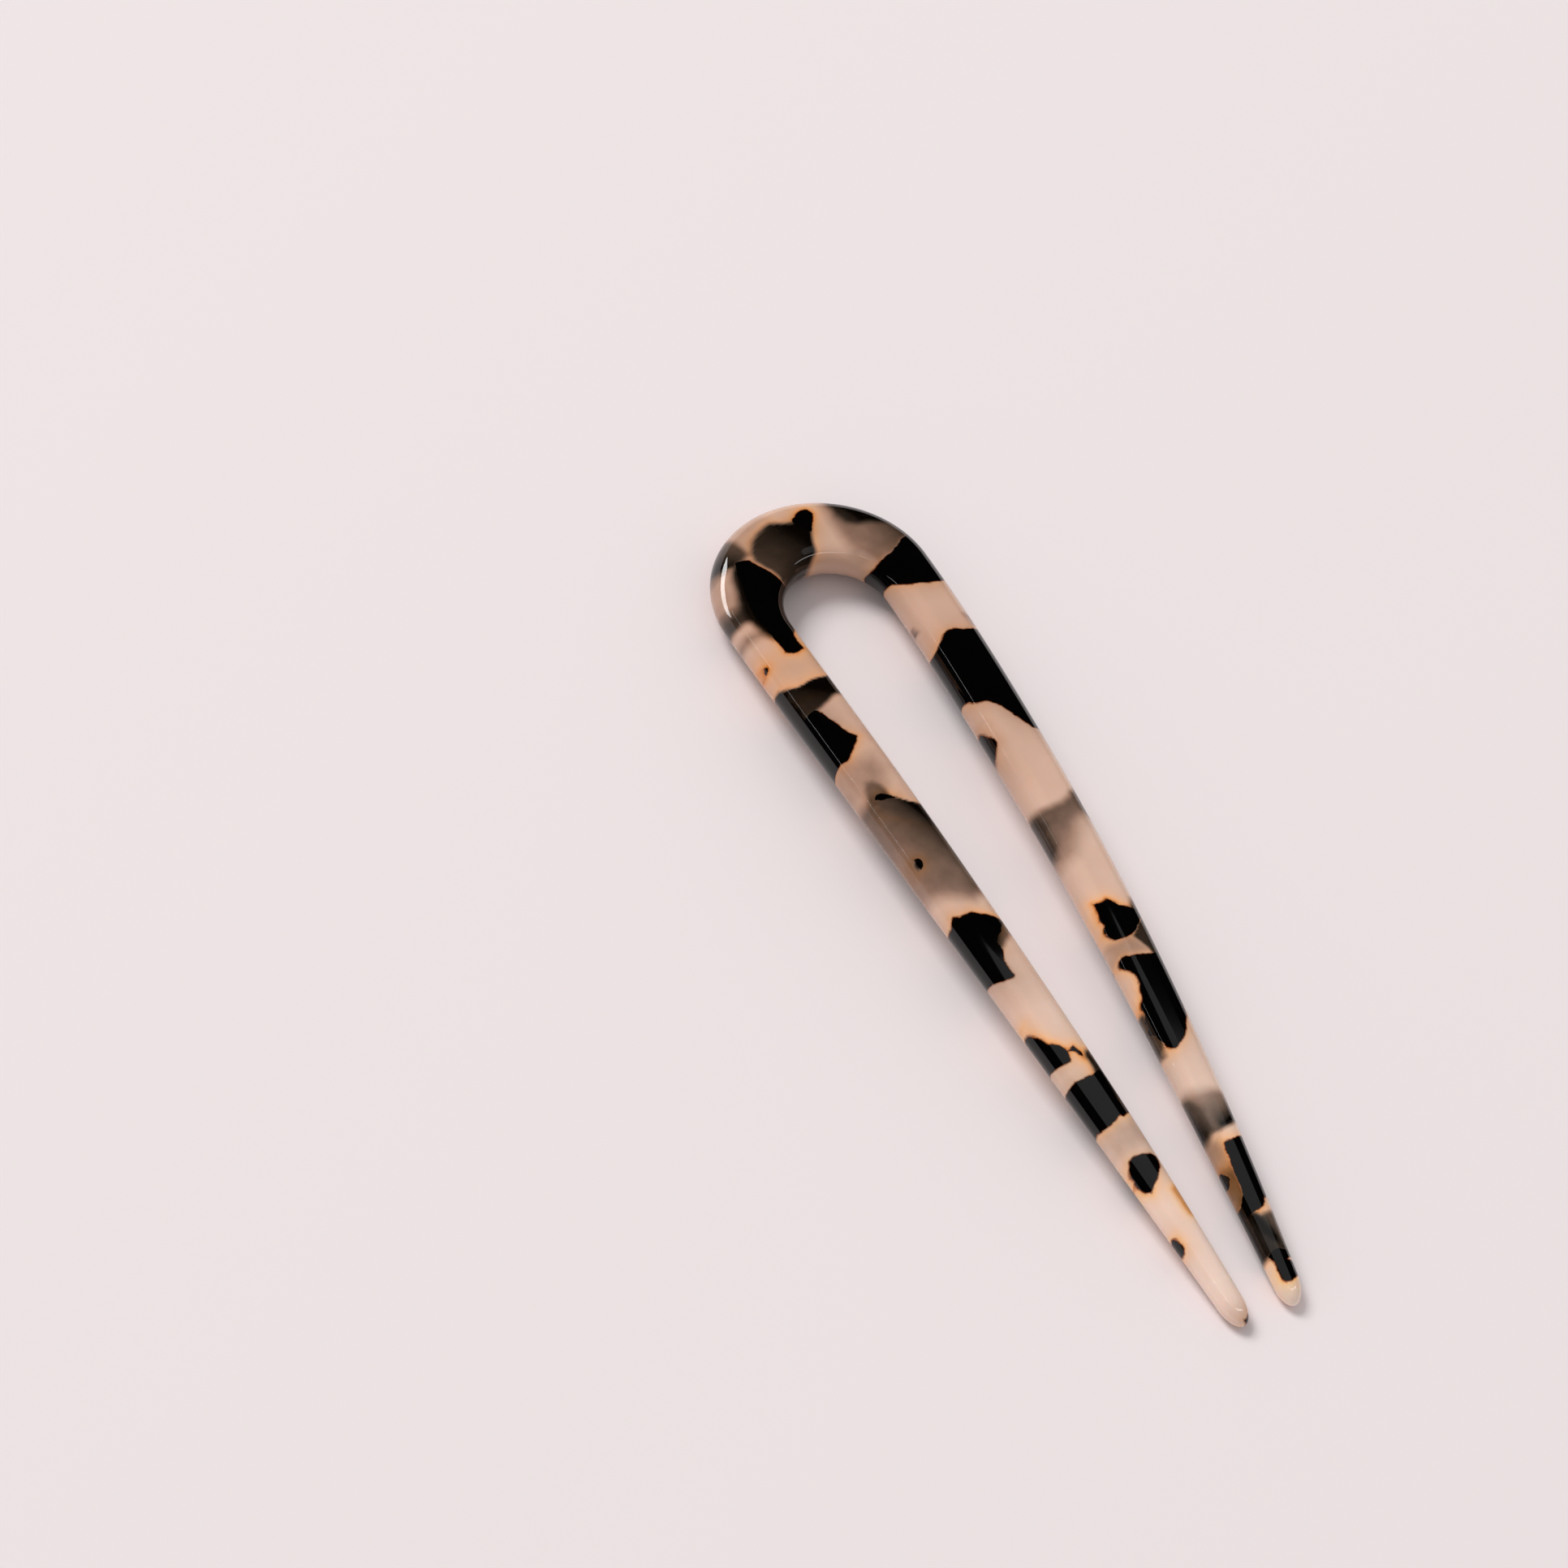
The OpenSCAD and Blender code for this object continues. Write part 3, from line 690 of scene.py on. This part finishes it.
def chart_on(mesh):
    """Asks each point about every plate, and keeps the five answers on the mesh."""
    all_points = np.array([vert.co for vert in mesh.vertices]) / MM
    all_points += (0, PIN_LENGTH / 2, LIFT / MM)
    all_depths = depth_of(all_points)
    edge = np.full(len(all_points), FAR)
    opened = np.zeros(len(all_points))
    body = np.zeros(len(all_points))
    smoke_and_painted_shade = np.zeros(len(all_points))
    painted_amber_glow = np.zeros(len(all_points))
    for piece in [*CLOUDS.values(), *FLAKES.values()]:
        near = near_to(piece, all_points)
        points, depth = all_points[near], all_depths[near]
        milk = milk_over(piece, points, depth)
        outline = outline_distance(piece, points, depth)
        beyond = np.maximum(outline, 0)
        strength = glow_of(piece, points)
        darkness = np.exp(-milk / MILK_DEPTH)
        blur = EDGE_BLUR + MILK_BLUR * milk + piece["soft"]
        cover = softened(0.5 - outline / blur)
        # Painted glow: the ground near a thin plate edge is brightened and turned amber, as if lit through
        # it
        halo = strength * np.exp(-beyond / GLOW_REACH) * (1 - cover * darkness)
        painted_amber_glow[near] = 1 - (1 - painted_amber_glow[near]) * (1 - halo)
        if piece["opens"]:
            opening = softened(1 - milk / CLOSING_MILK)
            dark = softened(0.5 * (1 - opening) - outline / blur) * darkness
            # Painted shade: the ground round an open flake is darkened, less where its edge glows
            shade = SHADE * (1 - strength) * np.exp(-beyond / SHADE_REACH) * opening
            smoke_and_painted_shade[near] = np.maximum(smoke_and_painted_shade[near], np.maximum(dark, shade))
            nearest = (opening > 0.01) & (outline < edge[near])
            body[near] = np.where(nearest, piece["thick"], body[near])
            opened[near] = np.where(nearest, opening, opened[near])
            edge[near] = np.where(nearest, outline, edge[near])
        else:
            smoke_and_painted_shade[near] += cover * (darkness - smoke_and_painted_shade[near])
    values = {"flake_edge": edge, "flake_open": opened, "flake_body": body, "smoke_and_painted_shade": smoke_and_painted_shade,
              "painted_amber_glow": painted_amber_glow}
    for name, value in values.items():
        attribute = mesh.attributes.new(name, "FLOAT", "POINT")
        attribute.data.foreach_set("value", value.astype(np.float32))
        print(name, "from", round(float(value.min()), 2), "to", round(float(value.max()), 2))


chart_on(pin.data)

# %% [markdown]
# ## The finish
#
# The material reads the five attributes and adds what is too fine for the mesh, on object coordinates:
# chipped flake edges, and slow clouds in the blond ground, which is milkier towards the tips, where the
# sheet is thin. The colours of milk over dark plastic, of thin dark plastic and of the painted glow are
# three ramps.

# %% Small helpers for nodes
def add(tree, kind, **settings):
    node = tree.nodes.new(kind)
    for name, value in settings.items():
        setattr(node, name, value)
    return node


def feed(tree, source, target):
    """Plugs a socket in, or sets the value."""
    if isinstance(source, bpy.types.NodeSocket):
        tree.links.new(source, target)
    else:
        target.default_value = source


def maths(tree, operation, a, b=0.0, c=0.0):
    node = add(tree, "ShaderNodeMath", operation=operation)
    for source, target in zip((a, b, c), node.inputs):
        feed(tree, source, target)
    return node.outputs[0]


def graded(tree, value, start, end):
    """0 at the start, 1 at the end, smooth between."""
    node = add(tree, "ShaderNodeMapRange", interpolation_type="SMOOTHSTEP")
    for source, target in zip((value, start, end), node.inputs):
        feed(tree, source, target)
    return node.outputs[0]


def mixed(tree, share, below, above, blend="MIX"):
    """Two colours, mixed. The node has sockets for each kind of value; 6, 7 and 2 are those for colour."""
    node = add(tree, "ShaderNodeMix", data_type="RGBA", blend_type=blend)
    feed(tree, share, node.inputs[0])
    feed(tree, below, node.inputs[6])
    feed(tree, above, node.inputs[7])
    return node.outputs[2]


def ramp(tree, value, stops):
    """Colours at places from 0 to 1."""
    node = add(tree, "ShaderNodeValToRGB")
    elements = node.color_ramp.elements
    for place, _ in stops[1:-1]:
        elements.new(place)
    for element, (place, colour) in zip(elements, stops):
        element.position = place
        element.color = (*colour, 1)
    feed(tree, value, node.inputs[0])
    return node.outputs[0]


def noise(tree, where, scale, strength, detail=2.0):
    """Noise with features of 1 / scale metres, half of its strength to either side of zero."""
    node = add(tree, "ShaderNodeTexNoise")
    feed(tree, where, node.inputs["Vector"])
    node.inputs["Scale"].default_value = scale
    node.inputs["Detail"].default_value = detail
    centred = maths(tree, "SUBTRACT", node.outputs[0], 0.5)
    return maths(tree, "MULTIPLY", centred, strength)


helpers = (add, feed, maths, graded, mixed, ramp, noise)
print("helpers:", [helper.__name__ for helper in helpers])

# %% Colours
GROUND = [(0.0, (0.98, 0.75, 0.65)), (0.22, (0.85, 0.64, 0.53)), (0.5, (0.75, 0.52, 0.41)),
          (0.75, (0.69, 0.45, 0.34)), (1.0, (0.63, 0.42, 0.32))]
MILK_OVER_DARK = [(0.0, (1.0, 1.0, 1.0)), (0.2, (0.82, 0.80, 0.78)), (0.4, (0.65, 0.60, 0.57)),
                  (0.6, (0.45, 0.40, 0.375)), (0.77, (0.27, 0.245, 0.225)), (0.9, (0.115, 0.108, 0.098)),
                  (0.96, (0.045, 0.043, 0.039)), (1.0, (0.004, 0.0035, 0.003))]
# Painted glow: brighter than white at first, then amber, multiplied into the ground near thin flake edges
PAINTED_AMBER_GLOW = [(0.0, (1.0, 1.0, 1.0)), (0.35, (1.14, 0.97, 0.74)), (0.6, (1.16, 0.82, 0.44)),
        (0.8, (0.98, 0.55, 0.20)), (1.0, (0.55, 0.20, 0.05))]
DARK_PLASTIC = [(0.0, (0.42, 0.12, 0.018)), (0.18, (0.22, 0.05, 0.010)), (0.36, (0.07, 0.014, 0.004)),
                (0.64, (0.012, 0.004, 0.0025)), (1.0, (0.0012, 0.001, 0.001))]
# The seam is brown, and orange where the painted glow is strong
BROWN_SEAM = (0.16, 0.075, 0.04, 1)
ORANGE_SEAM = (0.50, 0.15, 0.02, 1)
print("palest ground", GROUND[0][1], "and thickest dark plastic", DARK_PLASTIC[-1][1])

# %% Fine detail
# Features per metre of the clouds in the ground and in the smoke, and how strong the first are
GROUND_CLOUDS = 110
GROUND_CHANGE = 0.35
SMOKE_CLOUDS = 420
# Features per metre along a flake's edge, and how many millimetres they move it
EDGE_WAVES = 800
WAVE_SIZE = 0.45
EDGE_CHIPS = 2600
CHIP_SIZE = 0.22
# Millimetres over which the seam and the cut edge fade, and how steeply a cut flake thickens inwards
SEAM_WIDTH = 0.2
CUT_BLUR = 0.04
WEDGE = 6.0
# Where the painted glow turns the seam from brown to orange, and where smoke thickens the dark plastic
SEAM_TURNS = (0.15, 0.65)
SMOKE_TURNS = (0.4, 0.9)
print("waves of", round(1000 / EDGE_WAVES, 2), "mm and chips of", round(1000 / EDGE_CHIPS, 2), "mm")


# %% Layers of the finish
def charted(tree, name):
    """What the chart says about this place."""
    return add(tree, "ShaderNodeAttribute", attribute_name=name).outputs["Fac"]


def milky_ground(tree, where, smoke_and_painted_shade, painted_amber_glow):
    """Blond acetate with the painted glow of thin edges, darkened by deeper plates and painted shade near
    flakes.
    """
    along = add(tree, "ShaderNodeSeparateXYZ")
    feed(tree, where, along.inputs[0])
    towards_bow = maths(tree, "MULTIPLY_ADD", along.outputs["Y"], 1 / (PIN_LENGTH * MM), 0.5)
    clouds = noise(tree, where, GROUND_CLOUDS, GROUND_CHANGE)
    ground = ramp(tree, maths(tree, "ADD", towards_bow, clouds), GROUND)
    # Painted glow multiplied into the blond ground
    glowing = mixed(tree, 1.0, ground, ramp(tree, painted_amber_glow, PAINTED_AMBER_GLOW), "MULTIPLY")
    half_clear = maths(tree, "MULTIPLY", smoke_and_painted_shade, maths(tree, "SUBTRACT", 1.0, smoke_and_painted_shade))
    uneven = noise(tree, where, SMOKE_CLOUDS, half_clear, 3.0)
    # The smoke ramp also darkens the ground with the painted shade round open flakes
    smoky = ramp(tree, maths(tree, "ADD", smoke_and_painted_shade, uneven), MILK_OVER_DARK)
    return mixed(tree, 1.0, glowing, smoky, "MULTIPLY")


def ragged_edge(tree, where, edge):
    """The charted distance, with slow waves and fine chips along the edge."""
    wavy = noise(tree, where, EDGE_WAVES, WAVE_SIZE)
    chipped = noise(tree, where, EDGE_CHIPS, CHIP_SIZE, 3.0)
    return maths(tree, "ADD", edge, maths(tree, "ADD", wavy, chipped))


def with_seam(tree, ground, ragged, opened, smoke_and_painted_shade, painted_amber_glow):
    """A fine amber line where a flake comes up through the ground, orange where the painted glow is
    strong.
    """
    line = mixed(tree, graded(tree, painted_amber_glow, *SEAM_TURNS), BROWN_SEAM, ORANGE_SEAM)
    clear = maths(tree, "SUBTRACT", 1.0, smoke_and_painted_shade)
    shows = maths(tree, "MULTIPLY", opened, clear)
    seam = maths(tree, "MULTIPLY", graded(tree, ragged, SEAM_WIDTH, 0.0), shows)
    return mixed(tree, seam, ground, line)


def dark_plastic(tree, ragged, body, smoke_and_painted_shade):
    """The flake itself: amber where its edge is thin, black further in."""
    thickness = maths(tree, "MINIMUM", body, maths(tree, "MULTIPLY", ragged, -WEDGE))
    thickness = maths(tree, "ADD", thickness, graded(tree, smoke_and_painted_shade, *SMOKE_TURNS))
    return ramp(tree, thickness, DARK_PLASTIC)


layers = (milky_ground, ragged_edge, with_seam, dark_plastic)
print("layers:", [layer.__name__ for layer in layers])


# %% Tortoiseshell
def make_tortoiseshell():
    material = bpy.data.materials.new("tortoiseshell_acetate")
    material.use_nodes = True
    tree = material.node_tree
    where = add(tree, "ShaderNodeTexCoord").outputs["Object"]
    edge = charted(tree, "flake_edge")
    opened = charted(tree, "flake_open")
    body = charted(tree, "flake_body")
    smoke_and_painted_shade = charted(tree, "smoke_and_painted_shade")
    painted_amber_glow = charted(tree, "painted_amber_glow")

    ground = milky_ground(tree, where, smoke_and_painted_shade, painted_amber_glow)
    ragged = ragged_edge(tree, where, edge)
    lined = with_seam(tree, ground, ragged, opened, smoke_and_painted_shade, painted_amber_glow)
    dark = dark_plastic(tree, ragged, body, smoke_and_painted_shade)
    cut_open = maths(tree, "MULTIPLY", graded(tree, ragged, CUT_BLUR, -CUT_BLUR), opened)

    shader = tree.nodes["Principled BSDF"]
    feed(tree, mixed(tree, cut_open, lined, dark), shader.inputs["Base Color"])
    shader.inputs["Roughness"].default_value = 0.05
    shader.inputs["IOR"].default_value = 1.48
    shader.inputs["Subsurface Weight"].default_value = 0.6
    shader.inputs["Subsurface Radius"].default_value = (1.0, 0.6, 0.4)
    shader.inputs["Subsurface Scale"].default_value = 0.0025
    return material


tortoiseshell = make_tortoiseshell()
pin.data.materials.append(tortoiseshell)
print("tortoiseshell:", len(tortoiseshell.node_tree.nodes), "nodes")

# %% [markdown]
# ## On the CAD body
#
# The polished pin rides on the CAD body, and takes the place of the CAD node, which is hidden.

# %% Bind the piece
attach(pin, "root")
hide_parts("hair_pin")
